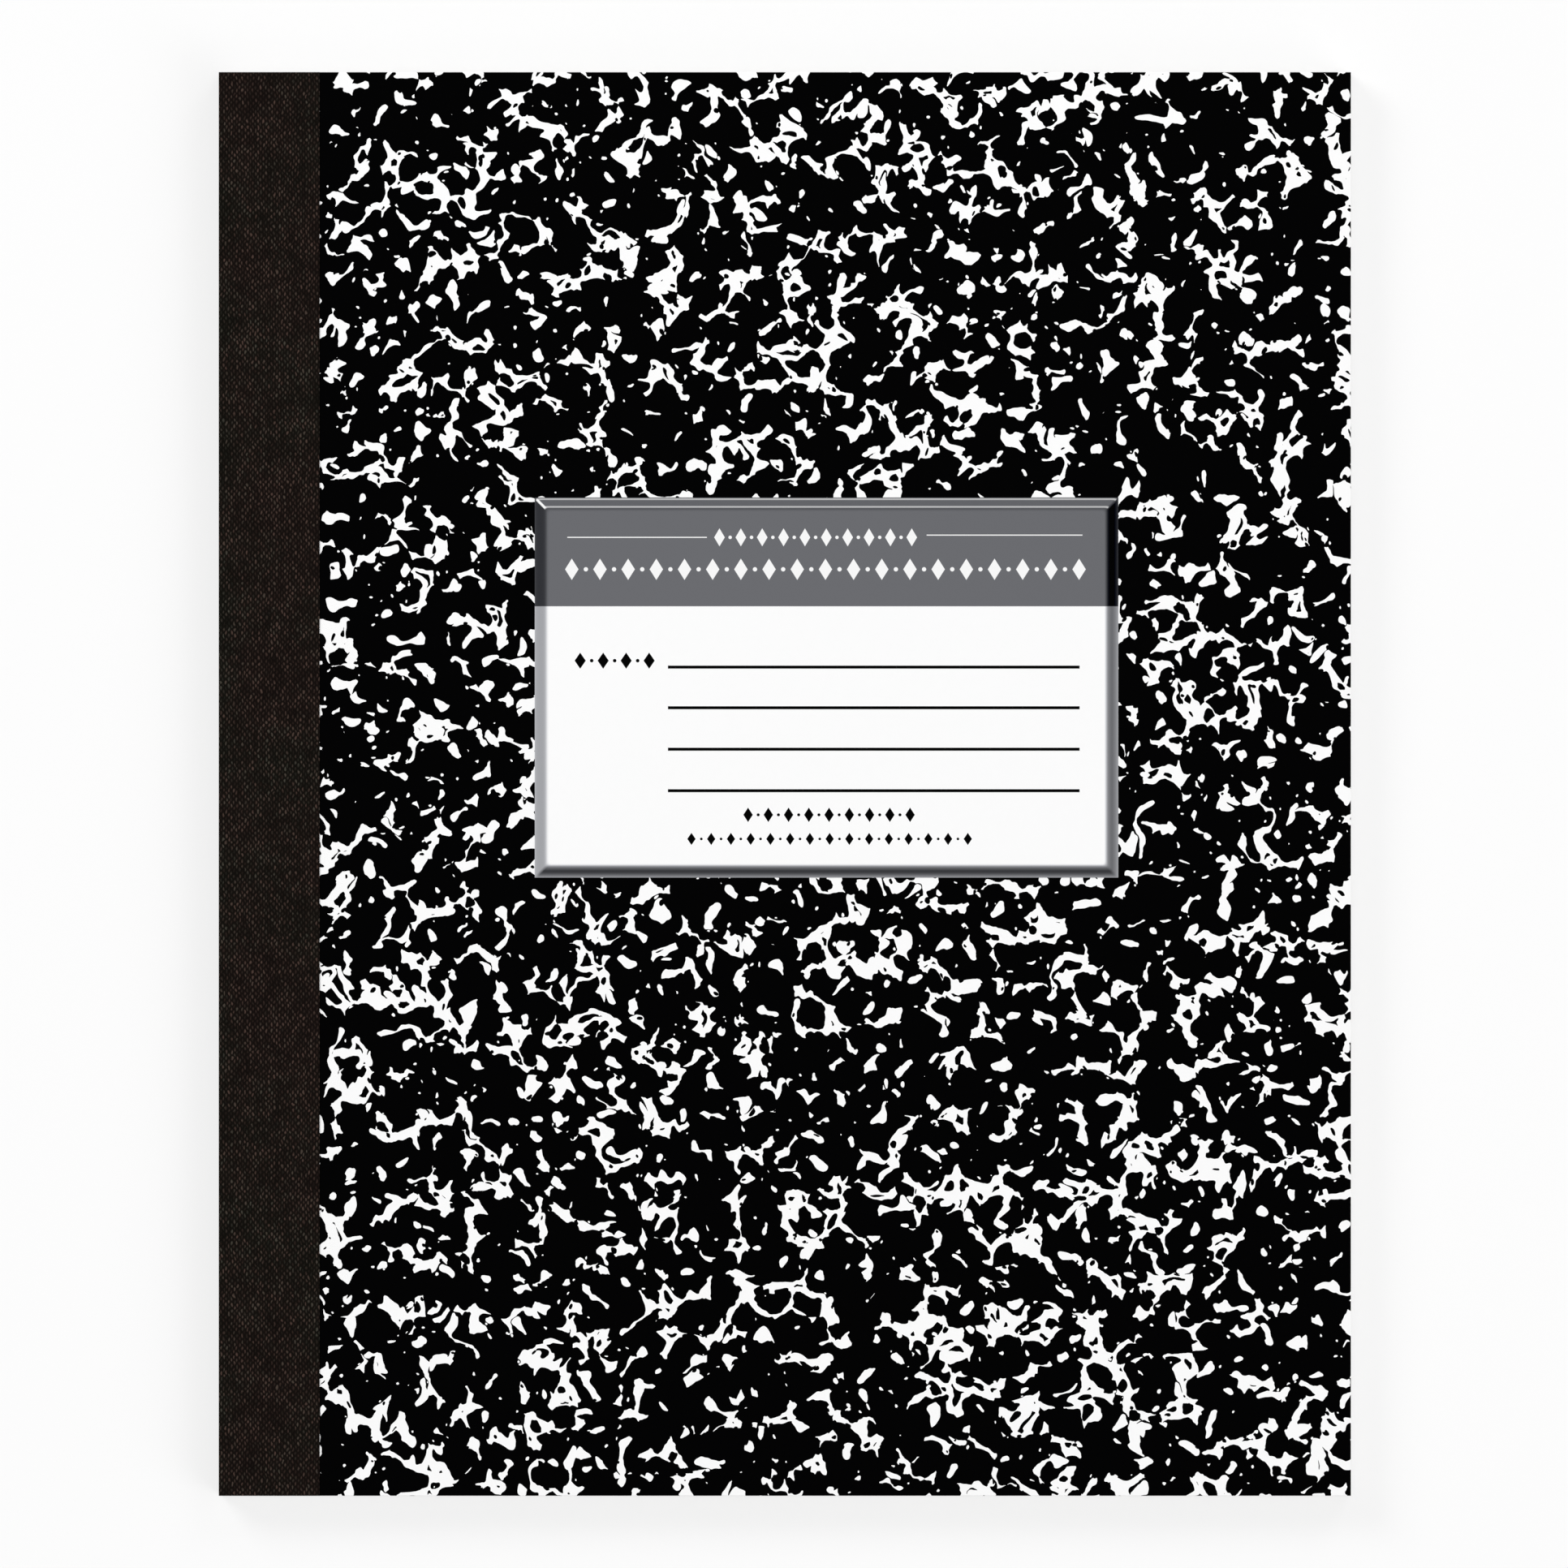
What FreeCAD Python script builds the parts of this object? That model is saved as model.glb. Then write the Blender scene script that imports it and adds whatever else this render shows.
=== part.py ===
"""Composition notebook: a sewn block of folded pages, two cover boards, a cloth spine tape
and a raised label on the front.

Millimetres. The closed book lies on its back cover. X runs from the spine to the fore-edge,
Y from the tail to the head, and Z from the back cover up to the front cover. The origin is
on the table, under the middle of the book.
"""
import FreeCAD, Part
import math
import os

from FreeCAD import Vector

# Driving sizes of the book
book_width = 202.0
book_height = 254.0

# Pages: sheets folded once and nested, so that each sheet makes two leaves
leaf_count = 60
leaf_caliper = 0.085
fold_round = 1.6

# Cover boards, trimmed flush with the pages
board_thickness = 0.8
board_spine_round = 0.25
trimmed_edge_round = 0.12

# Cloth tape that wraps the spine and grips both boards
tape_thickness = 0.25
tape_reach = 18.0
tape_press = 0.1
tape_slack = 0.05

# Lockstitch through the fold: threads pressed flat along it, with tight round loops through it
stitch_pitch = 10.0
thread_width = 0.44
thread_thickness = 0.26
loop_diameter = 0.34
thread_clearance = 0.03

# Raised label on the front board, with a soft ramp down to a thin edge
label_width = 104.1
label_height = 67.8
label_thickness = 0.35
label_edge_height = 0.05
label_ramp = 2.1
label_from_spine = 56.4
label_below_head = 75.9

# Places that follow from the sizes
spine_x = -book_width / 2
fore_edge_x = book_width / 2
tail_y = -book_height / 2
head_y = book_height / 2
pages_thickness = leaf_count * leaf_caliper
tape_proud = tape_thickness - tape_press
pages_bottom_z = tape_proud + board_thickness
pages_top_z = pages_bottom_z + pages_thickness
front_face_z = pages_top_z + board_thickness
middle_z = (pages_bottom_z + pages_top_z) / 2
tape_inside_x = spine_x + tape_thickness
tape_edge_x = spine_x + tape_reach
outer_thread_x = tape_inside_x + thread_clearance
inner_thread_x = tape_inside_x + pages_thickness / 2

along_y = Vector(0, 1, 0)
along_x = Vector(1, 0, 0)
up = Vector(0, 0, 1)


def block(x_from, x_to, y_from, y_to, z_from, z_to):
    """A plain block between two corners."""
    return Part.makeBox(x_to - x_from, y_to - y_from, z_to - z_from, Vector(x_from, y_from, z_from))


def rod(start, direction, length, radius):
    """A round rod or hole."""
    return Part.makeCylinder(radius, length, start, direction)


def quarter_arc(start, end, centre, radius):
    """The arc from start to end about centre, bulging away from the centre."""
    half_way = (start + end) * 0.5 - centre
    return Part.Arc(start, centre + half_way.normalize() * radius, end).toShape()


def edges_where(shape, test):
    """The edges of a shape whose middle passes a test."""
    return [edge for edge in shape.Edges if test(edge.CenterOfMass)]


def close_to(value, target):
    return abs(value - target) < 1e-4


def stitch_places():
    """Heights of the needle holes, centred on the book."""
    count = int(book_height / stitch_pitch)
    first = -(count - 1) * stitch_pitch / 2
    return [first + index * stitch_pitch for index in range(count)]


def folded_pages_outline():
    """The section of the nested fold: flat faces, a cut fore-edge and a rounded back."""
    r = min(fold_round, 0.45 * pages_thickness)
    lower_face = Vector(tape_inside_x + r, tail_y, pages_bottom_z)
    lower_back = Vector(tape_inside_x, tail_y, pages_bottom_z + r)
    upper_back = Vector(tape_inside_x, tail_y, pages_top_z - r)
    upper_face = Vector(tape_inside_x + r, tail_y, pages_top_z)
    lower_centre = Vector(tape_inside_x + r, tail_y, pages_bottom_z + r)
    upper_centre = Vector(tape_inside_x + r, tail_y, pages_top_z - r)
    lower_fore_edge = Vector(fore_edge_x, tail_y, pages_bottom_z)
    upper_fore_edge = Vector(fore_edge_x, tail_y, pages_top_z)
    edges = [
        Part.makeLine(lower_fore_edge, lower_face),
        quarter_arc(lower_face, lower_back, lower_centre, r),
        Part.makeLine(lower_back, upper_back),
        quarter_arc(upper_back, upper_face, upper_centre, r),
        Part.makeLine(upper_face, upper_fore_edge),
        Part.makeLine(upper_fore_edge, lower_fore_edge),
    ]
    return Part.Face(Part.Wire(edges))


def thread_strip(x_from, room):
    """A thread lying flat along the whole fold, or with room round it, the seat it lies in."""
    return block(
        x_from - room,
        x_from + thread_thickness + room,
        tail_y,
        head_y,
        middle_z - thread_width / 2 - room,
        middle_z + thread_width / 2 + room,
    )


def thread_seats():
    """Room for the sewing: a groove down the back, a channel in the centre fold, and holes."""
    groove = thread_strip(outer_thread_x, thread_clearance)
    channel = thread_strip(inner_thread_x, thread_clearance)
    hole_radius = loop_diameter / 2 + thread_clearance
    holes = [
        rod(Vector(outer_thread_x, y, middle_z), along_x, inner_thread_x - outer_thread_x, hole_radius)
        for y in stitch_places()
    ]
    return groove.fuse([channel] + holes)


def make_page_block():
    pages = folded_pages_outline().extrude(along_y * book_height)
    return pages.cut(thread_seats())


def make_thread(x_from, into_the_hole):
    """One thread of the lockstitch: its strip along the fold, and a loop into each needle hole.

    The loops are drawn tight. Those of the two threads meet half way through the fold and lock.
    """
    thread_middle_x = x_from + thread_thickness / 2
    loop_length = (inner_thread_x - outer_thread_x) / 2
    loops = [
        rod(Vector(thread_middle_x, y, middle_z), into_the_hole, loop_length, loop_diameter / 2)
        for y in stitch_places()
    ]
    return thread_strip(x_from, 0).fuse(loops)


def make_front_board():
    """The front board, with a shallow step where the tape is pressed in, and softened edges."""
    board = block(tape_inside_x, fore_edge_x, tail_y, head_y, pages_top_z, front_face_z)
    step_z = front_face_z - tape_press
    step = block(tape_inside_x, tape_edge_x, tail_y, head_y, step_z, front_face_z)
    board = board.cut(step)
    spine_edge = edges_where(
        board, lambda middle: close_to(middle.x, tape_inside_x) and close_to(middle.z, step_z)
    )
    board = board.makeFillet(board_spine_round, spine_edge)
    trimmed_edges = edges_where(
        board,
        lambda middle: close_to(middle.z, front_face_z) and not close_to(middle.x, tape_edge_x),
    )
    return board.makeFillet(trimmed_edge_round, trimmed_edges)


def make_front_tape():
    """The part of the tape on the front board: the wide leg, the turn and a short lip."""
    top_z = front_face_z + tape_proud
    under_z = top_z - tape_thickness
    outer_round = board_spine_round + tape_thickness
    outside = block(spine_x, tape_edge_x, tail_y, head_y, pages_top_z, top_z)
    outer_corner = edges_where(
        outside, lambda middle: close_to(middle.x, spine_x) and close_to(middle.z, top_z)
    )
    outside = outside.makeFillet(outer_round, outer_corner)
    inside = block(tape_inside_x, tape_edge_x, tail_y, head_y, pages_top_z, under_z)
    inner_corner = edges_where(
        inside, lambda middle: close_to(middle.x, tape_inside_x) and close_to(middle.z, under_z)
    )
    inside = inside.makeFillet(board_spine_round, inner_corner)
    return outside.cut(inside)


def make_middle_tape():
    """The strip of tape glued down the sewn back, between the two hinge lines."""
    return block(
        spine_x,
        tape_inside_x,
        tail_y,
        head_y,
        pages_bottom_z + tape_slack,
        pages_top_z - tape_slack,
    )


def mirrored_to_back(shape):
    """The back cover's copy of a front cover piece."""
    return shape.mirror(Vector(0, 0, middle_z), up)


def raised_profile(middle_of_bed, half_length, across):
    """A flat-topped section with an S-shaped ramp at each end, drawn in one upright plane."""
    ramp_rise = label_thickness - label_edge_height
    half_rise = label_edge_height + ramp_rise / 2
    ramp_radius = (label_ramp**2 + ramp_rise**2) / (4 * ramp_rise)
    turn = math.asin(label_ramp / 2 / ramp_radius)
    sagitta = ramp_radius * (1 - math.cos(turn / 2))
    along = ramp_radius * math.sin(turn / 2)

    foot = half_length
    waist = half_length - label_ramp / 2
    crest = half_length - label_ramp

    def at(distance, height):
        return middle_of_bed + across * distance + up * height

    edges = []
    for side in (1, -1):
        foot_arc = Part.Arc(
            at(side * foot, label_edge_height),
            at(side * (foot - along), label_edge_height + sagitta),
            at(side * waist, half_rise),
        )
        crest_arc = Part.Arc(
            at(side * waist, half_rise),
            at(side * (crest + along), label_thickness - sagitta),
            at(side * crest, label_thickness),
        )
        edges += [
            Part.makeLine(at(side * foot, 0), at(side * foot, label_edge_height)),
            foot_arc.toShape(),
            crest_arc.toShape(),
        ]
    edges.append(Part.makeLine(at(crest, label_thickness), at(-crest, label_thickness)))
    edges.append(Part.makeLine(at(foot, 0), at(-foot, 0)))
    return Part.Face(Part.Wire(Part.sortEdges(edges)[0]))


def make_label():
    """The raised label: the overlap of two sections, so that its ramps meet in mitred corners."""
    centre = Vector(
        spine_x + label_from_spine + label_width / 2,
        head_y - label_below_head - label_height / 2,
        front_face_z,
    )
    lower_edge = centre - along_y * (label_height / 2)
    left_edge = centre - along_x * (label_width / 2)
    across_section = raised_profile(lower_edge, label_width / 2, along_x)
    upright_section = raised_profile(left_edge, label_height / 2, along_y)
    across_run = across_section.extrude(along_y * label_height)
    return across_run.common(upright_section.extrude(along_x * label_width))


def build():
    front_board = make_front_board()
    front_tape = make_front_tape()
    return {
        "page_block": make_page_block(),
        "needle_thread": make_thread(outer_thread_x, along_x),
        "bobbin_thread": make_thread(inner_thread_x, along_x * -1),
        "spine_tape_middle": make_middle_tape(),
        "front_cover": front_board,
        "spine_tape_front": front_tape,
        "label": make_label(),
        "back_cover": mirrored_to_back(front_board),
        "spine_tape_back": mirrored_to_back(front_tape),
    }


os.makedirs("parts", exist_ok=True)
for node, shape in build().items():
    solids = shape.Solids
    print(node, len(solids), "solid", shape.isValid(), round(shape.Volume, 2), "mm3")
    piece = solids[0] if len(solids) == 1 else Part.makeCompound(solids)
    piece.exportStep(os.path.join("parts", node + ".step"))
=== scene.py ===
# %% [markdown]
# # Dressing a composition notebook
# The real book has four finishes: marbled paper on the boards, woven cloth on the spine,
# a raised label and white ruled leaves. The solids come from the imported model, which could be
# dressed as they are or replaced by finer meshes. The boards and threads have the right shape,
# so they only get materials. The leaves, the tape and the label need more form than a plain
# solid has, so they are modelled here in the same places.

import math
import random

import bmesh
import bpy
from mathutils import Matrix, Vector


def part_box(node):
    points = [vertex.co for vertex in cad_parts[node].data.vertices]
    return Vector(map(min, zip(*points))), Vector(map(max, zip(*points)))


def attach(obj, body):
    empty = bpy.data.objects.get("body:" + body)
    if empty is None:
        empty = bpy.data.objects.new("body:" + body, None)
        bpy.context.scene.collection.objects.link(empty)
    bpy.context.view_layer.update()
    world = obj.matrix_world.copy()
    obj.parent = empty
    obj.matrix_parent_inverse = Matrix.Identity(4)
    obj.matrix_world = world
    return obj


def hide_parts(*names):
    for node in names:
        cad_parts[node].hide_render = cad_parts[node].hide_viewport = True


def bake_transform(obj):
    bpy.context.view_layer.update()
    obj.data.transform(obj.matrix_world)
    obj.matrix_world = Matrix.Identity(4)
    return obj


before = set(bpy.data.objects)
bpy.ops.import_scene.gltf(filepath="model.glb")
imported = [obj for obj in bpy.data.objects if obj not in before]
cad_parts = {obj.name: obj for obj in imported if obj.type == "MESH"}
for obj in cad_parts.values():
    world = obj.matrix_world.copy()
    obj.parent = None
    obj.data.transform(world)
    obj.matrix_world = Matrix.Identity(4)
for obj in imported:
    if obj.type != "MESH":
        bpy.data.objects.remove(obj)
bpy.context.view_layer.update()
MM = 0.001
random.seed(11)

# %% [markdown]
# ## The book's main places
# Every new piece has to meet the solids exactly. Its sizes could be typed in again, but then
# they would drift apart from the model. They are read from the boxes of the nodes instead, so
# that a changed book changes the pieces too.

# %% Places read from the nodes
board_low, board_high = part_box("front_cover")
pages_low, pages_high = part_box("page_block")
tape_low, tape_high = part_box("spine_tape_front")
label_low, label_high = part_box("label")
strip_low, strip_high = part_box("spine_tape_middle")
needle_low, needle_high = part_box("needle_thread")
bobbin_low, bobbin_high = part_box("bobbin_thread")

middle_z = (pages_low.z + pages_high.z) / 2
half_pages = (pages_high.z - pages_low.z) / 2
board_gauge = board_high.z - board_low.z
cloth_gauge = strip_high.x - strip_low.x
fold_x = pages_low.x
print("pages", round(2 * half_pages / MM, 2), "mm, board", round(board_gauge / MM, 2),
      "mm, cloth", round(cloth_gauge / MM, 2), "mm")

# %% [markdown]
# ## Short ways to wire nodes
# A material is a tree of nodes, and most lines that build one only add a node and link its
# inputs. That could be written out each time, but the pattern is then hard to see. These
# helpers take numbers and sockets alike, so that a formula reads from left to right.


# %% Node helpers
def add_node(tree, kind, inputs=None, **settings):
    """A new node with its settings, and its inputs given as values or as sockets to link."""
    made = tree.nodes.new(kind)
    for name, value in settings.items():
        setattr(made, name, value)
    for key, value in (inputs or {}).items():
        if isinstance(value, bpy.types.NodeSocket):
            tree.links.new(value, made.inputs[key])
        else:
            made.inputs[key].default_value = value
    return made


def maths(tree, operation, a, b=0.0, c=0.0, clamp=False):
    """The output of one Math node."""
    inputs = {0: a, 1: b, 2: c}
    return add_node(tree, "ShaderNodeMath", inputs, operation=operation, use_clamp=clamp).outputs[0]


def vectors(tree, operation, a, b):
    """The output of one Vector Math node."""
    return add_node(tree, "ShaderNodeVectorMath", {0: a, 1: b}, operation=operation).outputs[0]


def mix_colours(tree, share, first, second):
    """first where share is 0, second where it is 1."""
    inputs = {"Factor": share, 6: first, 7: second}
    return add_node(tree, "ShaderNodeMix", inputs, data_type="RGBA").outputs[2]


def scale_colour(tree, colour, share):
    """A colour with each of its parts multiplied by one share."""
    inputs = {0: colour, "Scale": share}
    return add_node(tree, "ShaderNodeVectorMath", inputs, operation="SCALE").outputs[0]


def noise(tree, place, size, detail=1.0, shift=(0.0, 0.0, 0.0), flat=True):
    """Smooth noise from about -1 to 1, with features of about the given size."""
    moved = vectors(tree, "ADD", place, shift)
    inputs = {"Vector": moved, "Scale": 1.0 / size, "Detail": detail}
    grain = add_node(tree, "ShaderNodeTexNoise", inputs, noise_dimensions="2D" if flat else "3D")
    return maths(tree, "MULTIPLY_ADD", grain.outputs["Fac"], 2.0, -1.0)


def wander(tree, place, size, reach, detail, shift):
    """place, pushed about in the plane by smooth noise, by up to about reach."""
    moved = vectors(tree, "ADD", place, shift)
    inputs = {"Vector": moved, "Scale": 1.0 / size, "Detail": detail}
    grain = add_node(tree, "ShaderNodeTexNoise", inputs, noise_dimensions="2D")
    centred = vectors(tree, "SUBTRACT", grain.outputs["Color"], (0.5, 0.5, 0.5))
    return vectors(tree, "ADD", place, vectors(tree, "MULTIPLY", centred, (2 * reach, 2 * reach, 0.0)))


def below(tree, value, limit, soft):
    """1 where value is under limit and 0 above it, with an edge that fades over soft."""
    inputs = {"Value": value, "From Min": limit - soft / 2, "From Max": limit + soft / 2,
              "To Min": 1.0, "To Max": 0.0}
    return add_node(tree, "ShaderNodeMapRange", inputs).outputs[0]


def between(tree, value, start, end, soft):
    """1 where value lies from start to end, with edges that fade over soft."""
    from_middle = maths(tree, "ABSOLUTE", maths(tree, "SUBTRACT", value, (start + end) / 2))
    return below(tree, from_middle, (end - start) / 2, soft)


def new_group(name, inputs, outputs):
    """An empty shader node group with named sockets: its tree, its inputs and its outputs."""
    tree = bpy.data.node_groups.new(name, "ShaderNodeTree")
    for socket, kind, value in inputs:
        made = tree.interface.new_socket(socket, in_out="INPUT", socket_type=kind)
        if value is not None:
            made.default_value = value
    for socket, kind in outputs:
        tree.interface.new_socket(socket, in_out="OUTPUT", socket_type=kind)
    return tree, tree.nodes.new("NodeGroupInput").outputs, tree.nodes.new("NodeGroupOutput").inputs


def place_group(tree, group, **values):
    """The group as one node of a tree; its inputs are named with underscores for spaces."""
    made = add_node(tree, "ShaderNodeGroup", node_tree=group)
    for name, value in values.items():
        key = name.replace("_", " ")
        if isinstance(value, bpy.types.NodeSocket):
            tree.links.new(value, made.inputs[key])
        else:
            made.inputs[key].default_value = value
    return made.outputs


def new_material(name, roughness=0.6, specular=0.3):
    """A material with one Principled shader: its tree, the shader and the place in millimetres."""
    material = bpy.data.materials.new(name)
    material.use_nodes = True
    tree = material.node_tree
    shader = tree.nodes["Principled BSDF"]
    shader.inputs["Roughness"].default_value = roughness
    shader.inputs["Specular IOR Level"].default_value = specular
    coordinates = tree.nodes.new("ShaderNodeTexCoord")
    place = vectors(tree, "MULTIPLY", coordinates.outputs["Object"], (1 / MM, 1 / MM, 1 / MM))
    return material, tree, shader, place


def add_relief(tree, shader, height, depth):
    """Bump from a height that runs from about 0 to 1, with its depth in metres."""
    bump = add_node(tree, "ShaderNodeBump", {"Height": height, "Distance": depth, "Strength": 1.0})
    tree.links.new(bump.outputs[0], shader.inputs["Normal"])


def split(tree, place):
    """The three parts of a vector."""
    return add_node(tree, "ShaderNodeSeparateXYZ", {0: place}).outputs


# %% [markdown]
# ## Marbled paper
# Marbling throws round drops of black colour on a size bath: they spread until they meet, and
# white paper stays where none landed. The print could be drawn as noise with a hard threshold,
# but that gives cloudy blots. Here two sizes of drops are laid over each other, as distances to
# the points of Voronoi cells, so the white that is left has the branching strands and hollow
# sides of the real sheet. Noise then makes the colour spread unevenly.


# %% A layer of drops
def drops(tree, place, cell, smallest, largest, soft, shift):
    """How far inside a drop of this layer a point lies, in millimetres: negative outside."""
    inputs = {"Vector": vectors(tree, "ADD", place, shift), "Scale": 1.0 / cell, "Smoothness": soft}
    cells = add_node(tree, "ShaderNodeTexVoronoi", inputs, voronoi_dimensions="2D", feature="SMOOTH_F1")
    own_share = add_node(tree, "ShaderNodeSeparateColor", {0: cells.outputs["Color"]}).outputs[0]
    radius = maths(tree, "MULTIPLY_ADD", own_share, largest - smallest, smallest)
    return maths(tree, "MULTIPLY_ADD", cells.outputs["Distance"], -cell, radius)


def specks(tree, place, cell, share, smallest, largest, shift):
    """Single round specks, in only a share of the cells: positive inside a speck."""
    inputs = {"Vector": vectors(tree, "ADD", place, shift), "Scale": 1.0 / cell}
    cells = add_node(tree, "ShaderNodeTexVoronoi", inputs, voronoi_dimensions="2D", feature="F1")
    own_parts = add_node(tree, "ShaderNodeSeparateColor", {0: cells.outputs["Color"]}).outputs
    radius = maths(tree, "MULTIPLY_ADD", own_parts[1], largest - smallest, smallest)
    inside = maths(tree, "MULTIPLY_ADD", cells.outputs["Distance"], -cell, radius)
    absent = maths(tree, "GREATER_THAN", own_parts[0], share)
    return maths(tree, "MULTIPLY_ADD", absent, -2 * cell, inside)


# %% Spread the black drops
PRINT_FINENESS = 1.06
DROPS_MELT = 0.6
INK_SPREAD = 0.425
# Each unevenness: the size of its grain, how far it moves the edge of the ink, and its shift
UNEVEN_INK = [(2.0, 0.56, 91.0), (4.2, 0.66, 31.0), (15.0, 0.1, 5.0)]

print_tree, print_in, print_out = new_group(
    "Marbled print", [("Place", "NodeSocketVector", None)], [("White", "NodeSocketFloat")]
)
finer = vectors(print_tree, "MULTIPLY", print_in["Place"], (PRINT_FINENESS, PRINT_FINENESS, 1.0))
spread = wander(print_tree, finer, size=7.5, reach=1.9, detail=1.0, shift=(11.0, 5.0, 0.0))
spread = wander(print_tree, spread, size=1.6, reach=0.36, detail=1.0, shift=(37.0, 71.0, 0.0))
large_drops = drops(print_tree, spread, cell=6.2, smallest=1.25, largest=4.25, soft=0.3,
                    shift=(3.0, 9.0, 0.0))
middle_drops = drops(print_tree, spread, cell=3.25, smallest=0.12, largest=2.1, soft=0.3,
                     shift=(51.0, 22.0, 0.0))
ink = maths(print_tree, "SMOOTH_MAX", large_drops, middle_drops, DROPS_MELT)
ink = maths(print_tree, "ADD", ink, INK_SPREAD)
for grain, reach, shift in UNEVEN_INK:
    uneven = noise(print_tree, spread, grain, 0.0, (shift, 13.0, 0.0))
    ink = maths(print_tree, "MULTIPLY_ADD", uneven, reach, ink)
print("black drops:", len(print_tree.nodes), "nodes")

# %% [markdown]
# ## Flecks, rings and specks
# A real bath is never even: bare flecks open in the colour, wide white places fill up again from
# their middle, which leaves rings, and single small specks fall on both. They could be laid over
# the finished print, but then each would end in a hard joint. Here they change the same field of
# distances, so that each melts into what it touches.

# %% The rest of the print
FLECK_SIZE = 3.25
FLECK_GAIN = -2.5
FLECK_LEVEL = 1.18
FLECK_MELT = 0.36
REFILL_LEVEL = -1.4
REFILL_MELT = 0.25
SPECK_CELL = 1.9
SPECK_MELT = 0.1

bare_flecks = noise(print_tree, spread, FLECK_SIZE, 0.0, (191.0, 133.0, 0.0))
bare_flecks = maths(print_tree, "MULTIPLY_ADD", bare_flecks, FLECK_GAIN, FLECK_LEVEL)
ink = maths(print_tree, "SMOOTH_MIN", ink, bare_flecks, FLECK_MELT)
refilled = maths(print_tree, "SUBTRACT", REFILL_LEVEL, ink)
ink = maths(print_tree, "SMOOTH_MAX", ink, refilled, REFILL_MELT)
black_specks = specks(print_tree, spread, SPECK_CELL, share=0.15, smallest=0.24, largest=0.48,
                      shift=(8.0, 77.0, 0.0))
ink = maths(print_tree, "SMOOTH_MAX", ink, black_specks, SPECK_MELT)
bare_specks = specks(print_tree, spread, SPECK_CELL, share=0.08, smallest=0.14, largest=0.32,
                     shift=(28.0, 17.0, 0.0))
bare_specks = maths(print_tree, "MULTIPLY", bare_specks, -1.0)
ink = maths(print_tree, "SMOOTH_MIN", ink, bare_specks, SPECK_MELT)
print_tree.links.new(maths(print_tree, "LESS_THAN", ink, 0.0), print_out["White"])
print("marbled print:", len(print_tree.nodes), "nodes")

# %% [markdown]
# ## Paper and board fibre
# Paper isn't one flat tone: its fibres clump a little, and light catches them. The fibre could
# be a picture of paper, but a picture has one fixed size. Two noises, a cloudy one and one
# drawn out along the making direction, give the same look at any distance. The leaves, the
# label and the inside of the boards all share this group.

# %% Paper fibre as a node group
CLUMP_SIZE = 1.6
CLUMP_SHARE = 0.7
STRAND_WIDTH = 0.16
STRAND_STRETCH = 4.0

fibre_tree, fibre_in, fibre_out = new_group(
    "Paper fibre",
    [("Place", "NodeSocketVector", None), ("Colour", "NodeSocketColor", (0.8, 0.8, 0.8, 1.0)),
     ("Mottle", "NodeSocketFloat", 0.02)],
    [("Colour", "NodeSocketColor"), ("Height", "NodeSocketFloat")],
)
clumps = noise(fibre_tree, fibre_in["Place"], CLUMP_SIZE, 4.0, (2.0, 3.0, 5.0), flat=False)
drawn_out = vectors(fibre_tree, "MULTIPLY", fibre_in["Place"], (1.0, 1 / STRAND_STRETCH, 1.0))
strands = noise(fibre_tree, drawn_out, STRAND_WIDTH, 2.0, (7.0, 1.0, 4.0), flat=False)
clump_part = maths(fibre_tree, "MULTIPLY", clumps, CLUMP_SHARE)
strand_part = maths(fibre_tree, "MULTIPLY", strands, 1 - CLUMP_SHARE)
mottle = maths(fibre_tree, "ADD", clump_part, strand_part)
tone = maths(fibre_tree, "MULTIPLY_ADD", mottle, fibre_in["Mottle"], 1.0)
fibre_tree.links.new(scale_colour(fibre_tree, fibre_in["Colour"], tone), fibre_out["Colour"])
fibre_tree.links.new(maths(fibre_tree, "MULTIPLY_ADD", strands, 0.5, 0.5), fibre_out["Height"])
print("paper fibre:", len(fibre_tree.nodes), "nodes")

# %% [markdown]
# ## The boards
# Each board is grey chipboard, faced outside with the marbled sheet and lined inside with plain
# paper. The three could be separate thin meshes, but the board is trimmed as one, so they end
# flush. One material tells them apart by depth: the distance from the middle of the book says
# whether a point is on the outer face, in the trimmed core or on the lining. The print's black
# is a flat ink with hardly any gloss, so its reflection is kept low.

# %% Facing of the boards
PRINT_BLACK = (0.0006, 0.0006, 0.0007, 1.0)
PAPER_WHITE = (0.975, 0.975, 0.975, 1.0)
PRINT_ROUGHNESS = 0.5
BACK_PRINT_SHIFT = 431.0

board_material, tree, shader, place = new_material("marbled_board", PRINT_ROUGHNESS, specular=0.012)
from_middle = maths(tree, "SUBTRACT", split(tree, place)[2], middle_z / MM)
on_back = maths(tree, "LESS_THAN", from_middle, 0.0)
shift_x = maths(tree, "MULTIPLY", on_back, BACK_PRINT_SHIFT)
back_shift = add_node(tree, "ShaderNodeCombineXYZ", {0: shift_x}).outputs[0]
white = place_group(tree, print_tree, Place=vectors(tree, "ADD", place, back_shift))["White"]
printed = mix_colours(tree, white, PRINT_BLACK, PAPER_WHITE)
print("the back cover's print is", BACK_PRINT_SHIFT, "mm away in the pattern")

# %% Core and lining of the boards
CHIPBOARD_GREY = (0.30, 0.27, 0.235, 1.0)
LINING_CREAM = (0.80, 0.79, 0.75, 1.0)
CORE_LAYERS = (0.35, 0.35, 6.0)
CORE_CONTRAST = 0.22
CORE_ROUGHNESS = 0.9
CORE_RELIEF = 2.0
FACING_GAUGE = 0.11
LINING_GAUGE = 0.07


def dress_nodes(names, material):
    """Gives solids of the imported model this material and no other."""
    for name in names:
        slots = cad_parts[name].data.materials
        slots.clear()
        slots.append(material)


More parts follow.
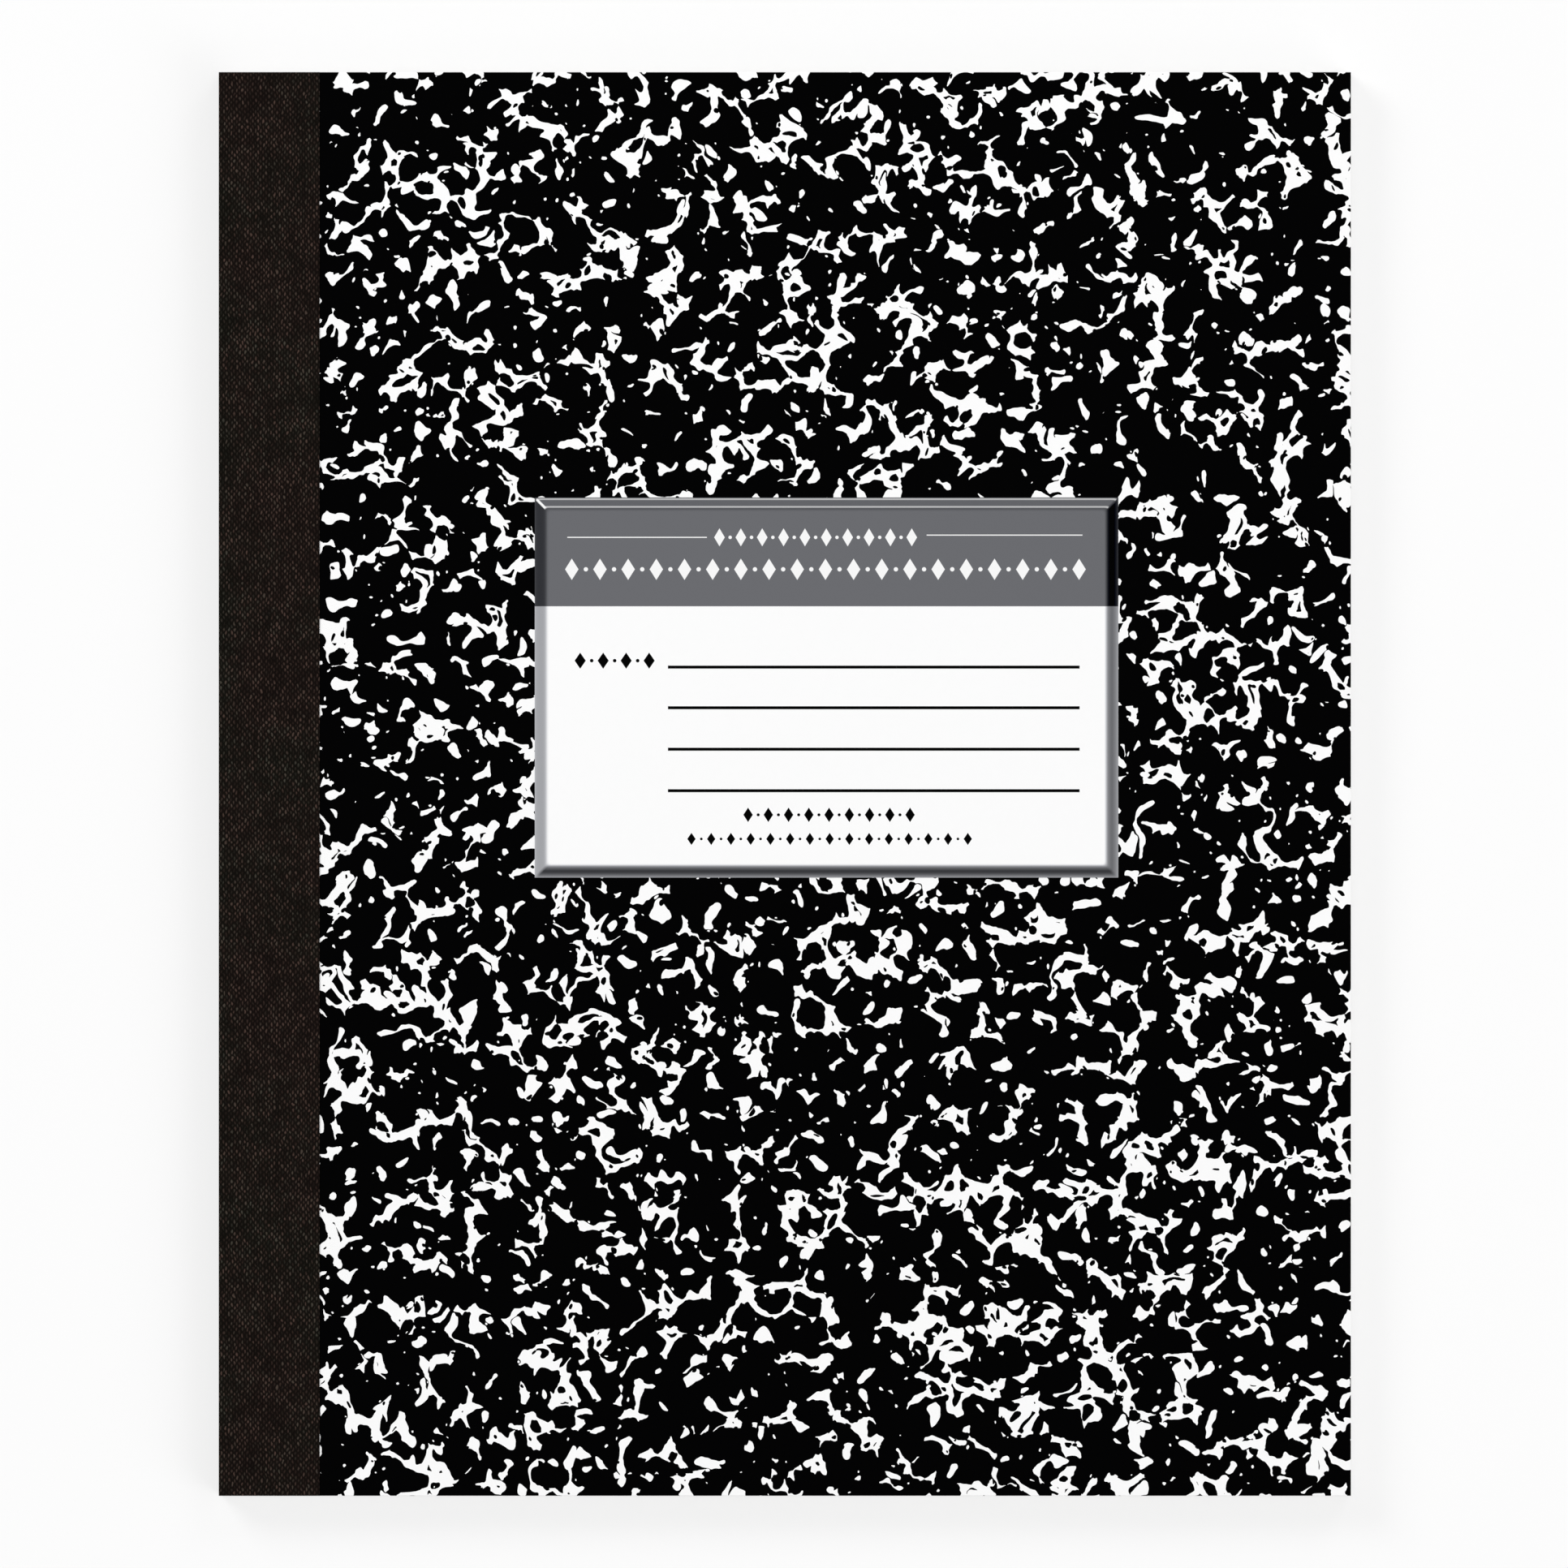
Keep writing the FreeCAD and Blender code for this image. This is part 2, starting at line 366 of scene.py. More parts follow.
layered = vectors(tree, "MULTIPLY", place, CORE_LAYERS)
core_streaks = noise(tree, layered, size=0.7, detail=3.0, flat=False)
core = place_group(tree, fibre_tree, Place=place, Colour=CHIPBOARD_GREY, Mottle=0.25)
core_tone = maths(tree, "MULTIPLY_ADD", core_streaks, CORE_CONTRAST, 1.0)
core_colour = scale_colour(tree, core["Colour"], core_tone)
lining = place_group(tree, fibre_tree, Place=place, Colour=LINING_CREAM, Mottle=0.03)
depth = maths(tree, "ABSOLUTE", from_middle)
is_printed = maths(tree, "GREATER_THAN", depth, (half_pages + board_gauge) / MM - FACING_GAUGE)
is_lining = maths(tree, "LESS_THAN", depth, half_pages / MM + LINING_GAUGE)
colour = mix_colours(tree, is_printed, core_colour, printed)
colour = mix_colours(tree, is_lining, colour, lining["Colour"])
tree.links.new(colour, shader.inputs["Base Color"])
core_mask = maths(tree, "SUBTRACT", 1.0, maths(tree, "MAXIMUM", is_printed, is_lining))
roughness = maths(tree, "MULTIPLY_ADD", core_mask, CORE_ROUGHNESS - PRINT_ROUGHNESS, PRINT_ROUGHNESS)
tree.links.new(roughness, shader.inputs["Roughness"])
streaked = maths(tree, "MULTIPLY", core_streaks, core_mask)
relief = maths(tree, "MULTIPLY_ADD", streaked, CORE_RELIEF, lining["Height"])
add_relief(tree, shader, relief, depth=0.000012)
dress_nodes(("front_cover", "back_cover"), board_material)
print("board material on 2 boards:", len(tree.nodes), "nodes")

# %% [markdown]
# ## The leaves
# The block is thirty sheets, folded once and nested, so every fold wraps the one inside it. It
# could stay one solid with painted lines on its edges, but the lines would lie flat. Here each
# sheet is really folded: a point is drawn out to the fold, spun round a quarter turn, drawn
# up, spun again and drawn back, and the line is then pulled out to the height of the page and
# given its gauge. Each sheet is trimmed a hair differently, as a guillotine leaves it.

# %% Mesh helpers
def only(kind, geometry):
    """The parts of one kind, such as the vertices, of what an operator gives back."""
    return [part for part in geometry if isinstance(part, kind)]


def make_piece(name, bm):
    """The finished mesh as an object in the scene, at the origin."""
    mesh = bpy.data.meshes.new(name)
    bm.to_mesh(mesh)
    bm.free()
    piece = bpy.data.objects.new(name, mesh)
    bpy.context.scene.collection.objects.link(piece)
    return piece


# %% Folded and nested sheets
SHEETS = 30
PAPER_SHARE = 0.86
FOLD_SHARE = 0.627
TRIM_SCATTER = 0.00003
BEND_STEPS = 5
leaf_gauge = half_pages / SHEETS


def fold_sheet(bm, half_height, thickness):
    """One sheet folded round the middle of the book, with its gauge."""
    bend = FOLD_SHARE * half_height
    back_x = fold_x + half_pages - half_height
    tail = pages_low.y + random.uniform(0.0, TRIM_SCATTER)
    head = pages_high.y - random.uniform(0.0, TRIM_SCATTER)
    fore = pages_high.x - random.uniform(0.0, TRIM_SCATTER)
    line = bmesh.ops.create_vert(bm, co=(fore, tail, middle_z - half_height))["vert"]

    def draw_to(x, z):
        made = bmesh.ops.extrude_vert_indiv(bm, verts=[line[-1]])["verts"][0]
        made.co = (x, tail, z)
        line.append(made)

    def spin_round(z):
        turn = {"cent": (back_x + bend, tail, z), "axis": (0.0, 1.0, 0.0), "angle": math.pi / 2}
        made = bmesh.ops.spin(bm, geom=[line[-1]], steps=BEND_STEPS, **turn)["geom_last"]
        line.append(only(bmesh.types.BMVert, made)[0])

    draw_to(back_x + bend, middle_z - half_height)
    spin_round(middle_z - half_height + bend)
    draw_to(back_x, middle_z + half_height - bend)
    spin_round(middle_z + half_height - bend)
    draw_to(fore, middle_z + half_height)
    edges = [edge for edge in bm.edges if edge.is_wire]
    made = bmesh.ops.extrude_edge_only(bm, edges=edges)["geom"]
    bmesh.ops.translate(bm, verts=only(bmesh.types.BMVert, made), vec=(0.0, head - tail, 0.0))
    faces = only(bmesh.types.BMFace, made)
    bmesh.ops.recalc_face_normals(bm, faces=faces)
    bmesh.ops.solidify(bm, geom=faces, thickness=thickness)


bm = bmesh.new()
for sheet in range(SHEETS):
    fold_sheet(bm, half_pages - sheet * leaf_gauge, leaf_gauge * PAPER_SHARE)
print("sheets", SHEETS, "faces", len(bm.faces), "leaf", round(leaf_gauge / MM, 3), "mm")
folded_pages = make_piece("folded_pages", bm)
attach(folded_pages, "sewn_pages")
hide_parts("page_block")

# %% [markdown]
# ## Room for the sewing
# The needle thread lies in a groove down the back of the fold, and the bobbin thread in the
# centre opening. Cutting a groove out of every sheet would leave slots in the paper, but real
# sheets are pressed aside by the thread. So the folds get a few more rows of points, and those
# beside a thread are moved: inwards at the back, and apart in the centre.

# %% Press the sheets aside
SAME_PLACE = 1e-7
THREAD_ROOM = 0.00003
GROOVE_ROWS = (0.00012, 0.00025, 0.0005)
GROOVE_FADE = 0.0004
OPENING_FADE = 0.0012
OPENING_CLOSE = 0.004
groove_half = (needle_high.z - needle_low.z) / 2 + THREAD_ROOM
thread_gauge = bobbin_high.x - (fold_x + half_pages)
groove_depth = needle_low.x + thread_gauge - fold_x + THREAD_ROOM
opening_half = (bobbin_high.z - bobbin_low.z) / 2
opening_start = fold_x + half_pages - 0.00005
opening_end = bobbin_high.x + 0.0001
opening_rows = [opening_start + (opening_end - opening_start) * step / 2 for step in range(3)]
opening_rows += [opening_end + OPENING_CLOSE * (step / 4) ** 2 for step in range(1, 5)]


def fade(distance, reach):
    """1 at no distance, 0 at reach, with a soft start and end."""
    share = min(max(distance / reach, 0.0), 1.0)
    return 1 - share * share * (3 - 2 * share)


def add_row(bm, spot, facing):
    """A row of points wherever a plane through the spot crosses a face."""
    whole = list(bm.verts) + list(bm.edges) + list(bm.faces)
    bmesh.ops.bisect_plane(bm, geom=whole, plane_co=spot, plane_no=facing, dist=SAME_PLACE)


bm = bmesh.new()
bm.from_mesh(folded_pages.data)
for side in (-1, 1):
    for height in GROOVE_ROWS:
        add_row(bm, (0.0, 0.0, middle_z + side * height), (0.0, 0.0, 1.0))
for x in opening_rows:
    add_row(bm, (x, 0.0, 0.0), (1.0, 0.0, 0.0))
for vert in bm.verts:
    height = vert.co.z - middle_z
    pressed = fade(abs(height) - groove_half, GROOVE_FADE) * fade(vert.co.x - fold_x, half_pages)
    before = opening_start - vert.co.x
    gap = fade(before, OPENING_FADE) if before > 0 else fade(vert.co.x - opening_end, OPENING_CLOSE)
    apart = opening_half * gap * (1 - abs(height) / half_pages)
    vert.co.x += groove_depth * pressed
    vert.co.z += math.copysign(apart, height)
bm.to_mesh(folded_pages.data)
bm.free()
print("groove", round(groove_depth / MM, 2), "mm deep, opening", round(2 * opening_half / MM, 2), "mm")

# %% [markdown]
# ## Ruled paper
# The leaves are thin uncoated writing paper: pale blue lines a third of an inch apart and a red
# margin line. Painting each leaf through its own map would take sixty maps for leaves that
# nobody can part. The ruling is drawn by place instead, across and along the book, so that it
# also shows as faint bands where the lines run out at the trimmed fore-edge.

# %% Page material
LINE_PITCH = 8.73
LINE_WIDTH = 0.28
LINE_SOFT = 0.08
MARGIN_FROM_EDGE = 31.75
FIRST_LINE_DROP = 30.0
LAST_LINE_RISE = 9.0
PAGE_WHITE = (0.86, 0.86, 0.835, 1.0)
LINE_BLUE = (0.20, 0.42, 0.66, 1.0)
MARGIN_RED = (0.72, 0.16, 0.20, 1.0)
INK_ON_PAGE = 0.75
INK_ON_EDGE = 0.13

page_material, tree, shader, place = new_material("ruled_paper", roughness=0.75, specular=0.25)
x_mm, y_mm, z_mm = split(tree, place)
paper = place_group(tree, fibre_tree, Place=place, Colour=PAGE_WHITE, Mottle=0.025)
from_first_line = maths(tree, "SUBTRACT", (pages_high.y / MM) - FIRST_LINE_DROP, y_mm)
in_pitch = maths(tree, "FRACT", maths(tree, "MULTIPLY", from_first_line, 1.0 / LINE_PITCH))
from_line = maths(tree, "MULTIPLY", maths(tree, "PINGPONG", in_pitch, 0.5), LINE_PITCH)
on_line = below(tree, from_line, LINE_WIDTH / 2, LINE_SOFT)
line_area = maths(tree, "MULTIPLY",
                  maths(tree, "GREATER_THAN", from_first_line, -LINE_PITCH / 2),
                  maths(tree, "GREATER_THAN", y_mm, pages_low.y / MM + LAST_LINE_RISE))
on_line = maths(tree, "MULTIPLY", on_line, line_area)
on_front = maths(tree, "GREATER_THAN", z_mm, middle_z / MM)
front_margin = fold_x / MM + MARGIN_FROM_EDGE
back_margin = pages_high.x / MM - MARGIN_FROM_EDGE
margin_x = maths(tree, "MULTIPLY_ADD", on_front, front_margin - back_margin, back_margin)
from_margin = maths(tree, "ABSOLUTE", maths(tree, "SUBTRACT", x_mm, margin_x))
on_margin = below(tree, from_margin, LINE_WIDTH / 2, LINE_SOFT)
normal = add_node(tree, "ShaderNodeTexCoord").outputs["Normal"]
facing = maths(tree, "ABSOLUTE", split(tree, normal)[2])
ink_share = maths(tree, "MULTIPLY_ADD", facing, INK_ON_PAGE - INK_ON_EDGE, INK_ON_EDGE)
line_share = maths(tree, "MULTIPLY", on_line, ink_share)
margin_share = maths(tree, "MULTIPLY", on_margin, ink_share)
colour = mix_colours(tree, line_share, paper["Colour"], LINE_BLUE)
colour = mix_colours(tree, margin_share, colour, MARGIN_RED)
tree.links.new(colour, shader.inputs["Base Color"])
add_relief(tree, shader, paper["Height"], depth=0.000006)
folded_pages.data.materials.append(page_material)
ruled_height = (pages_high.y - pages_low.y) / MM - FIRST_LINE_DROP - LAST_LINE_RISE
print("ruled lines", int(ruled_height / LINE_PITCH), "to a page")

# %% [markdown]
# ## The sewing thread
# Two cotton threads hold the fold, and a stitch presses them flat. They could be remade as twisted strands,
# but they lie under the tape where only their ends show, so the solids stay and a twist is given to their
# surface: slanting bands in relief, with painted shade in the grooves between them.

# %% Thread material
TWIST_ALONG = 2.2
TWIST_ROUND = 3.0
PLY_CONTRAST = 0.9
FUZZ = 0.2
COTTON_CREAM = (0.80, 0.78, 0.72, 1.0)
PAINTED_PLY_SHADE = (0.42, 0.39, 0.33, 1.0)

thread_material, tree, shader, place = new_material("twisted_cotton", roughness=0.8, specular=0.2)
x_mm, y_mm, z_mm = split(tree, place)
round_thread = maths(tree, "MULTIPLY", maths(tree, "ADD", x_mm, z_mm), TWIST_ROUND)
ply = maths(tree, "PINGPONG", maths(tree, "MULTIPLY_ADD", y_mm, TWIST_ALONG, round_thread), 0.5)
cotton = place_group(tree, fibre_tree, Place=place, Colour=COTTON_CREAM, Mottle=0.12)
# Painted shade: the colour darkens towards the grooves between the plies of the twist.
crown_share = maths(tree, "MULTIPLY", ply, PLY_CONTRAST)
thread_colour = mix_colours(tree, crown_share, PAINTED_PLY_SHADE, cotton["Colour"])
tree.links.new(thread_colour, shader.inputs["Base Color"])
add_relief(tree, shader, maths(tree, "MULTIPLY_ADD", cotton["Height"], FUZZ, ply), depth=0.00006)
dress_nodes(("needle_thread", "bobbin_thread"), thread_material)
print("thread material:", len(tree.nodes), "nodes")

# %% [markdown]
# ## Woven cloth
# Spine tape is a plain weave, dyed black, and wherever a thread of the warp comes over, its crown gets a
# painted highlight. A checker texture would give the rhythm but not the crowns. Here the crowns are small
# ovals on two grids, the second shifted by half a step, and each has its own brightness of painted
# highlight. The same ovals raise the surface.

# %% Crowns of the weave
STEP_ACROSS = 0.95
STEP_ALONG = 1.1
CROWN_HALF_WIDTH = 0.225
CROWN_HALF_LENGTH = 0.47
CROWN_FLAT = 0.15
CROWN_UNEVENNESS = 1.8
DULLEST_CROWN = 0.2
CROWN_RANGE = 1.15
GRIDS_APART = 340

cloth_tree, cloth_in, cloth_out = new_group(
    "Woven cloth",
    [("Place", "NodeSocketVector", None)],
    [("Crown", "NodeSocketFloat"), ("Dye", "NodeSocketFloat"), ("Height", "NodeSocketFloat"),
     ("Patch", "NodeSocketFloat")],
)
loose = wander(cloth_tree, cloth_in["Place"], size=2.2, reach=0.34, detail=2.0, shift=(4.0, 9.0, 0.0))
loose = wander(cloth_tree, loose, size=0.8, reach=0.13, detail=1.0, shift=(8.0, 2.0, 0.0))


def crowns(shift):
    """Ovals on one grid: how far up its crown a point lies, the oval's painted highlight with its own
    brightness, and its dye.
    """
    moved = vectors(cloth_tree, "ADD", loose, (shift * STEP_ACROSS, shift * STEP_ALONG, 0.0))
    steps = vectors(cloth_tree, "DIVIDE", moved, (STEP_ACROSS, STEP_ALONG, 1.0))
    corner = add_node(cloth_tree, "ShaderNodeVectorMath", {0: steps}, operation="FLOOR").outputs[0]
    inside = vectors(cloth_tree, "SUBTRACT", steps, corner)
    from_centre = vectors(cloth_tree, "SUBTRACT", inside, (0.5, 0.5, 0.0))
    oval = (STEP_ACROSS / CROWN_HALF_WIDTH, STEP_ALONG / CROWN_HALF_LENGTH, 0.0)
    in_ovals = vectors(cloth_tree, "MULTIPLY", from_centre, oval)
    away = add_node(cloth_tree, "ShaderNodeVectorMath", {0: in_ovals}, operation="LENGTH").outputs["Value"]
    up = add_node(cloth_tree, "ShaderNodeMapRange",
                  {"Value": away, "From Min": CROWN_FLAT, "From Max": 1.0, "To Min": 1.0, "To Max": 0.0},
                  interpolation_type="SMOOTHSTEP").outputs[0]
    own_place = vectors(cloth_tree, "ADD", corner, (GRIDS_APART * shift, GRIDS_APART / 2 * shift, 0.0))
    own = add_node(cloth_tree, "ShaderNodeTexWhiteNoise", {"Vector": own_place}, noise_dimensions="2D")
    own_parts = add_node(cloth_tree, "ShaderNodeSeparateColor", {0: own.outputs["Color"]}).outputs
    uneven = maths(cloth_tree, "POWER", own_parts[0], CROWN_UNEVENNESS)
    brightness = maths(cloth_tree, "MULTIPLY_ADD", uneven, CROWN_RANGE, DULLEST_CROWN)
    return up, maths(cloth_tree, "MULTIPLY", up, brightness), own_parts[1]


first_up, first_lit, first_dye = crowns(0.0)
second_up, second_lit, second_dye = crowns(0.5)
print("crowns:", len(cloth_tree.nodes), "nodes")

# %% Yarn, dye and patches
YARN_WIDTH = 0.13
YARN_CONTRAST = 0.55
YARN_RELIEF = 0.12
PATCH_SIZE = 4.5
PATCH_CONTRAST = 0.8
STREAK_WIDTH = 0.7
STREAK_SHARE = 0.3

along_yarn = vectors(cloth_tree, "MULTIPLY", loose, (1.0, 0.3, 1.0))
yarn = noise(cloth_tree, along_yarn, YARN_WIDTH, 1.0, (6.0, 6.0, 0.0))
# Painted highlight: the crowns of the weave are lighter, each by its own random brightness.
lit = maths(cloth_tree, "MAXIMUM", first_lit, second_lit)
lit = maths(cloth_tree, "MULTIPLY", lit, maths(cloth_tree, "MULTIPLY_ADD", yarn, YARN_CONTRAST, 1.0))
cloth_tree.links.new(lit, cloth_out["Crown"])
on_first = maths(cloth_tree, "GREATER_THAN", first_up, second_up)
own_dye = add_node(cloth_tree, "ShaderNodeMix", {0: on_first, 2: second_dye, 3: first_dye}).outputs[0]
cloth_tree.links.new(own_dye, cloth_out["Dye"])
up = maths(cloth_tree, "MAXIMUM", first_up, second_up)
cloth_tree.links.new(maths(cloth_tree, "MULTIPLY_ADD", yarn, YARN_RELIEF, up), cloth_out["Height"])
drift = noise(cloth_tree, cloth_in["Place"], PATCH_SIZE, 4.0, (1.0, 1.0, 0.0))
along_strip = vectors(cloth_tree, "MULTIPLY", cloth_in["Place"], (1.0, 0.02, 1.0))
streaks = noise(cloth_tree, along_strip, STREAK_WIDTH, 1.0, (2.0, 5.0, 0.0))
drift = maths(cloth_tree, "MULTIPLY_ADD", streaks, STREAK_SHARE, drift)
cloth_tree.links.new(maths(cloth_tree, "MULTIPLY_ADD", drift, PATCH_CONTRAST, 0.5), cloth_out["Patch"])
print("woven cloth:", len(cloth_tree.nodes), "nodes")

# %% [markdown]
# ## The spine tape
# One strip of cloth is glued over both boards and the back of the book. When a cover opens the strip bends
# along one line, so it is modelled as two halves that meet at the middle of the spine: each is drawn as a
# bent line, pulled to the height of the book and given its gauge. The stretch at the hinge has many narrow
# rows.

# %% Draw the two halves
HINGE_ROWS = 16
OUTER_ROUND = 0.0005
CORNER_STEPS = 6
STRETCHES = 8
CLOTH_MAP = "cloth"
hinge_reach = 0.0002
leg_rows = (tape_low.x + 0.004, tape_high.x - 0.002, tape_high.x)
stretch_length = (tape_high.y - tape_low.y) / STRETCHES


def make_tape_half(name, side):
    """Half of the tape: side is 1 for the front cover's half and -1 for the back cover's."""
    spine_x = tape_low.x
    leg_z = middle_z + side * (tape_high.z - middle_z)
    hinge_z = middle_z + side * half_pages
    bm = bmesh.new()
    tail = tape_low.y
    last = bmesh.ops.create_vert(bm, co=(spine_x, tail, middle_z))["vert"][0]
    hinge_shares = [2 * row / HINGE_ROWS - 1 for row in range(HINGE_ROWS + 1)]
    spine_rows = [hinge_z + side * hinge_reach * share for share in hinge_shares]
    for z in spine_rows + [leg_z - side * OUTER_ROUND]:
        last = bmesh.ops.extrude_vert_indiv(bm, verts=[last])["verts"][0]
        last.co.z = z
    centre = (spine_x + OUTER_ROUND, tail, leg_z - side * OUTER_ROUND)
    turn = {"cent": centre, "axis": (0.0, 1.0, 0.0), "angle": side * math.pi / 2}
    made = bmesh.ops.spin(bm, geom=[last], steps=CORNER_STEPS, **turn)["geom_last"]
    last = only(bmesh.types.BMVert, made)[0]
    for x in leg_rows:
        last = bmesh.ops.extrude_vert_indiv(bm, verts=[last])["verts"][0]
        last.co.x = x
    bmesh.ops.remove_doubles(bm, verts=list(bm.verts), dist=1e-6)
    for stretch in range(STRETCHES):
        edges = [edge for edge in bm.edges if edge.is_wire or edge.is_boundary]
        edges = [edge for edge in edges if all(abs(vert.co.y - tail) < SAME_PLACE for vert in edge.verts)]
        made = bmesh.ops.extrude_edge_only(bm, edges=edges)["geom"]
        bmesh.ops.translate(bm, verts=only(bmesh.types.BMVert, made), vec=(0.0, stretch_length, 0.0))
        tail += stretch_length
    bmesh.ops.recalc_face_normals(bm, faces=list(bm.faces))
    leg_face = max(bm.faces, key=lambda face: face.calc_center_median().x)
    if leg_face.normal.z * side < 0:
        bmesh.ops.reverse_faces(bm, faces=list(bm.faces))
    bmesh.ops.solidify(bm, geom=list(bm.faces), thickness=cloth_gauge)
    layer = bm.loops.layers.uv.new(CLOTH_MAP)
    for face in bm.faces:
        for loop in face.loops:
            x, y, z = loop.vert.co / MM
            along = x + z if side > 0 else 2 * spine_x / MM - x + z
            loop[layer].uv = (along, y)
    return make_piece(name, bm)


tape_front = make_tape_half("tape_front_half", 1)
tape_back = make_tape_half("tape_back_half", -1)
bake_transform(tape_front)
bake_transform(tape_back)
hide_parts("spine_tape_front", "spine_tape_middle")
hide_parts("spine_tape_back")
print("tape halves", len(tape_front.data.polygons), "and", len(tape_back.data.polygons), "faces")

# %% [markdown]
# ## Dyed tape
# The dye isn't pure black: the tone drifts in soft patches, and it leans a little green near the spine and a
# little red near the edge. The crowns of the weave get a painted highlight, as if they catch more light. One
# flat dark colour would lose all of that. The map that follows the cloth round the corner carries the
# pattern, so it keeps its scale on the turn and stays on the cloth when a cover opens.

# %% Tape material
GREEN_BLACK = (0.0041, 0.0042, 0.0028, 1.0)
RED_BLACK = (0.0053, 0.0034, 0.0029, 1.0)
GREEN_CROWN_HIGHLIGHT = (0.053, 0.050, 0.039, 1.0)
RED_CROWN_HIGHLIGHT = (0.072, 0.045, 0.036, 1.0)
GREEN_REACH = 4.0
LEAN_AT_SPINE = 0.38
LEAN_AT_EDGE = 0.80
CAST_SIZE = 22.0
CAST_REACH = 0.9
DULLEST_PATCH = 0.3
PATCH_RANGE = 1.2
PATCH_LIGHT = 0.045

tape_material, tree, shader, place = new_material("dyed_cloth", roughness=0.8, specular=0.02)
uv_map = add_node(tree, "ShaderNodeUVMap", uv_map=CLOTH_MAP).outputs[0]
weave = place_group(tree, cloth_tree, Place=uv_map)
spine_middle = (tape_low.x + middle_z) / MM
half_spine = (tape_high.z - middle_z) / MM
from_middle = maths(tree, "ABSOLUTE", maths(tree, "SUBTRACT", split(tree, uv_map)[0], spine_middle))
from_spine = add_node(tree, "ShaderNodeMapRange",
                      {"Value": from_middle, "From Min": half_spine,
                       "From Max": half_spine + GREEN_REACH}).outputs[0]
cast = noise(tree, uv_map, CAST_SIZE, 2.0, (3.0, 1.0, 0.0))
usual_lean = maths(tree, "MULTIPLY_ADD", from_spine, LEAN_AT_EDGE - LEAN_AT_SPINE, LEAN_AT_SPINE)
lean = maths(tree, "MULTIPLY_ADD", cast, CAST_REACH, usual_lean, clamp=True)
base = mix_colours(tree, lean, GREEN_BLACK, RED_BLACK)
crown_lean = maths(tree, "MULTIPLY_ADD", weave["Dye"], 1.0, maths(tree, "SUBTRACT", lean, 0.5), clamp=True)
# The colour of the painted highlight on the crowns, leaning green or red with the dye.
crown = mix_colours(tree, crown_lean, GREEN_CROWN_HIGHLIGHT, RED_CROWN_HIGHLIGHT)
patch_light = maths(tree, "MULTIPLY_ADD", weave["Patch"], PATCH_RANGE, DULLEST_PATCH)
lit = maths(tree, "MULTIPLY", weave["Crown"], patch_light)
lit = maths(tree, "MULTIPLY_ADD", weave["Patch"], PATCH_LIGHT, lit)
colour = mix_colours(tree, lit, base, crown)
tree.links.new(colour, shader.inputs["Base Color"])
add_relief(tree, shader, weave["Height"], depth=0.00006)
for half in (tape_front, tape_back):
    half.data.materials.append(tape_material)
print("tape material:", len(tree.nodes), "nodes")

# %% [markdown]
# ## The label
# The label is a stiff card pressed up from the front board: a thin edge, then a soft ramp up to
# its flat field. The ramp could be a bevel modifier, but then its shape isn't under control. A
# single face is inset again and again instead, and lifted a little each time, by the heights
# of an S-shaped curve. That also gives clean mitred corners.

# %% Raise the label
EDGE_HEIGHT = 0.00005
RAMP_WIDTH = 0.0021
RAMP_STEPS = 14
label_size = label_high - label_low
label_centre = (label_low + label_high) / 2
ramp_rise = label_size.z - EDGE_HEIGHT


def ramp_height(share):
    """The height above the foot of the ramp, at a share of the way across it."""
    return ramp_rise * (1 - math.cos(math.pi * share)) / 2


bm = bmesh.new()
foot = (label_centre.x, label_centre.y, label_low.z)
bmesh.ops.create_grid(bm, x_segments=1, y_segments=1, size=0.5)
bmesh.ops.scale(bm, verts=list(bm.verts), vec=(label_size.x, label_size.y, 1.0))
bmesh.ops.translate(bm, verts=list(bm.verts), vec=foot)
top = bm.faces[:][0]
made = bmesh.ops.extrude_face_region(bm, geom=[top])["geom"]
bmesh.ops.translate(bm, verts=only(bmesh.types.BMVert, made), vec=(0.0, 0.0, EDGE_HEIGHT))
top = only(bmesh.types.BMFace, made)[0]
for step in range(RAMP_STEPS):
    rise = ramp_height((step + 1) / RAMP_STEPS) - ramp_height(step / RAMP_STEPS)
    bmesh.ops.inset_region(bm, faces=[top], thickness=RAMP_WIDTH / RAMP_STEPS, use_even_offset=True)
    bmesh.ops.translate(bm, verts=list(top.verts), vec=(0.0, 0.0, rise))
bmesh.ops.recalc_face_normals(bm, faces=list(bm.faces))
print("label", len(bm.faces), "faces, top at", round(top.calc_center_median().z / MM, 3), "mm")
label_card = make_piece("label_card", bm)
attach(label_card, "front_board")
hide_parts("label")

# %% [markdown]
# ## What is printed on the label
# A grey band heads the label, and black writing lines fill its field. Rows of small lozenges and
# dots, which are old printer's ornaments, decorate both. They could be pieces of mesh, but print
# has no height, so each is a mask worked out from the place.

# %% Label masks
label_material, tree, shader, place = new_material("printed_label", roughness=0.5, specular=0.012)
x_mm, y_mm = split(tree, place)[:2]
HEADER_FOOT = 31.7
HEADER_RULES = [(-38.8, -13.9, 44.0), (25.3, 53.1, 44.4)]
RULE_WIDTH = 0.18
WRITING_LINES = [20.85, 13.6, 6.2, -1.2]
WRITING_FROM, WRITING_TO = -20.85, 52.6
WRITING_WIDTH = 0.55
SOFT = 0.05
ORNAMENT_SOFT = 0.06
DOT_SHARE = 0.16
# Each row: its left and right end, its height on the label, the pitch, and how tall and wide
HEADER_ORNAMENTS = [(-12.6, 23.6, 44.0, 4.0, 3.2, 1.9), (-39.2, 53.7, 38.3, 5.0, 3.8, 2.4)]
FIELD_ORNAMENTS = [(-37.5, -23.2, 22.0, 3.6, 2.9, 2.0), (-7.4, 23.2, -5.5, 3.4, 2.6, 1.7),
                   (-17.4, 33.4, -9.8, 3.4, 2.2, 1.5)]


